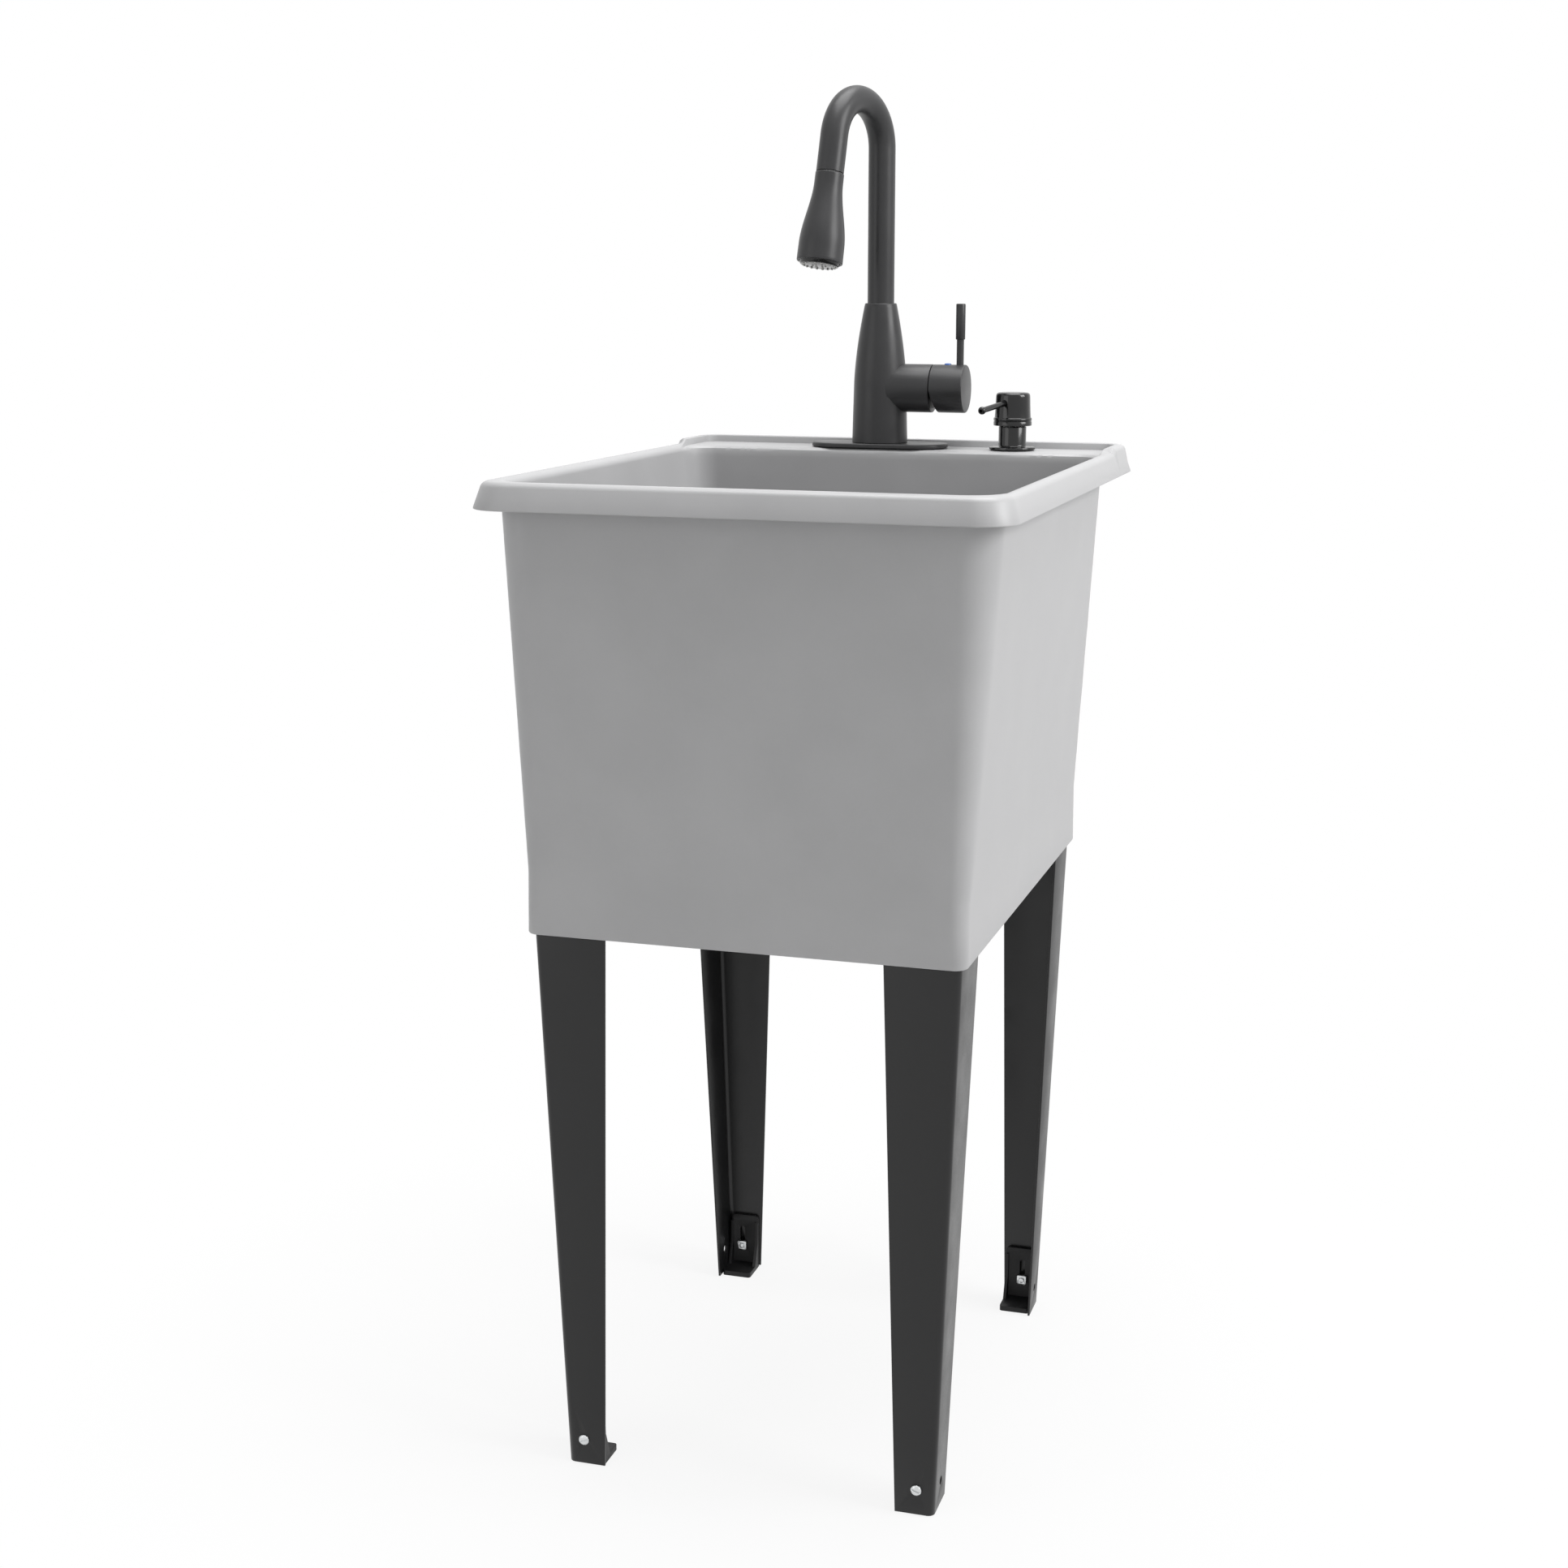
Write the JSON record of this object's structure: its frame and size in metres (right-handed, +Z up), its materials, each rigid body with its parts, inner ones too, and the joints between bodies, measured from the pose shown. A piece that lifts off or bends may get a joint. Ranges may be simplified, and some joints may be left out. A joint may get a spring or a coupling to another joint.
{
  "type": "utility_laundry_sink",
  "caption": "Free-standing utility laundry sink: moulded plastic tub on four folded steel legs with levelling feet, pull-down tap with side lever, and a soap dispenser.",
  "frame": {"origin": "on the floor under the middle of the rim", "axes": "+X right, +Y to the back (the front faces -Y), +Z up"},
  "size_m": [0.45, 0.58, 1.202],
  "materials": {
    "tub_plastic": "moulded polypropylene, satin",
    "leg_steel": "black powder coat on folded sheet steel",
    "foot_plastic": "moulded black nylon",
    "zinc": "bright zinc-plated steel",
    "stainless": "stamped stainless steel",
    "rubber": "moulded rubber",
    "white_plastic": "white moulded plastic",
    "tap_black": "matte black coating on cast metal",
    "pump_black": "black plastic with a semi-gloss face",
    "brass": "turned brass",
    "button_plastic": "blue index button",
    "nozzle_silicone": "pale silicone",
    "bottle_plastic": "blow-moulded natural polyethylene",
    "hose_sleeve": "grey braided sleeve",
    "fibre_ring": "pressed fibre ring",
    "ceramic_carrier": "ceramic disc carrier"
  },
  "bodies": {
    "sink": {"tub": "tub_plastic", "leg_front_left": "leg_steel", "leg_front_right": "leg_steel", "leg_back_left": "leg_steel", "leg_back_right": "leg_steel", "foot_screws": "zinc", "foot_nuts": "zinc", "drain_body": "stainless", "drain_gasket": "rubber", "drain_friction_ring": "fibre_ring", "drain_locknut": "white_plastic", "tailpiece_washer": "rubber", "tailpiece": "stainless", "slip_nut": "white_plastic", "deck_plate": "tap_black", "deck_plate_gasket": "rubber", "tap_body": "tap_black", "tap_shank": "brass", "shank_rubber_washer": "rubber", "shank_steel_washer": "zinc", "mounting_nut": "brass", "cartridge": "white_plastic", "cartridge_nut": "brass", "spout_bushing": "white_plastic", "soap_collar": "pump_black", "soap_gasket": "rubber", "soap_nut": "pump_black", "soap_bottle": "bottle_plastic", "dip_tube": "bottle_plastic", "pump_cylinder": "white_plastic", "pump_gland": "white_plastic"},
    "basket": {"strainer_basket": "stainless", "basket_stopper": "rubber", "basket_knob": "stainless"},
    "swivel_spout": {"spout": "tap_black", "spout_o_rings": "rubber", "docking_collar": "white_plastic"},
    "spray": {"spray_head": "tap_black", "spray_face": "pump_black", "spray_nozzles": "nozzle_silicone", "spray_hose": "hose_sleeve"},
    "mixer_rotor": {"cartridge_rotor": "ceramic_carrier", "stem_pin": "zinc"},
    "handle": {"valve_stem": "zinc", "handle_cap": "tap_black", "lever_rod": "tap_black", "lever_grip": "tap_black", "index_button": "button_plastic", "handle_set_screw": "zinc"},
    "pump_piston": {"pump_plunger": "white_plastic", "pump_spring": "zinc"},
    "pump_top": {"pump_head": "pump_black", "pump_spout": "pump_black"},
    "foot_fl": {"foot_front_left": "foot_plastic"},
    "foot_fr": {"foot_front_right": "foot_plastic"},
    "foot_bl": {"foot_back_left": "foot_plastic"},
    "foot_br": {"foot_back_right": "foot_plastic"}
  },
  "joints": [
    {"name": "spout_swivel", "type": "hinge", "parent": "sink", "child": "swivel_spout", "pos_m": [-0.02, 0.2385, 0.961], "axis": [0, 0, 1], "range_deg": [-60, 90]},
    {"name": "spray_pull", "type": "slide", "parent": "swivel_spout", "child": "spray", "axis": [-0.059, -0.1993, -0.9781], "range_m": [0, 0.045]},
    {"name": "handle_temperature", "type": "hinge", "parent": "sink", "child": "mixer_rotor", "pos_m": [0.03, 0.2385, 0.92], "axis": [1, 0, 0], "range_deg": [-45, 45]},
    {"name": "handle_flow", "type": "hinge", "parent": "mixer_rotor", "child": "handle", "pos_m": [0.03, 0.2385, 0.92], "axis": [0, 1, 0], "range_deg": [0, 14]},
    {"name": "soap_press", "type": "slide", "parent": "sink", "child": "pump_piston", "axis": [0, 0, -1], "range_m": [0, 0.014], "stiffness_N_per_m": 500, "springref_m": -0.006, "deforming": ["pump_spring"]},
    {"name": "soap_turn", "type": "hinge", "parent": "pump_piston", "child": "pump_top", "pos_m": [0.113, 0.2385, 0.905], "axis": [0, 0, 1], "range_deg": [-45, 225]},
    {"name": "basket_lift", "type": "slide", "parent": "sink", "child": "basket", "axis": [0, 0, 1], "range_m": [0, 0.06]},
    {"name": "foot_level_fl", "type": "slide", "parent": "sink", "child": "foot_fl", "axis": [0, 0, -1], "range_m": [0, 0.018]},
    {"name": "foot_level_fr", "type": "slide", "parent": "sink", "child": "foot_fr", "axis": [0, 0, -1], "range_m": [0, 0.018]},
    {"name": "foot_level_bl", "type": "slide", "parent": "sink", "child": "foot_bl", "axis": [0, 0, -1], "range_m": [0, 0.018]},
    {"name": "foot_level_br", "type": "slide", "parent": "sink", "child": "foot_br", "axis": [0, 0, -1], "range_m": [0, 0.018]}
  ]
}
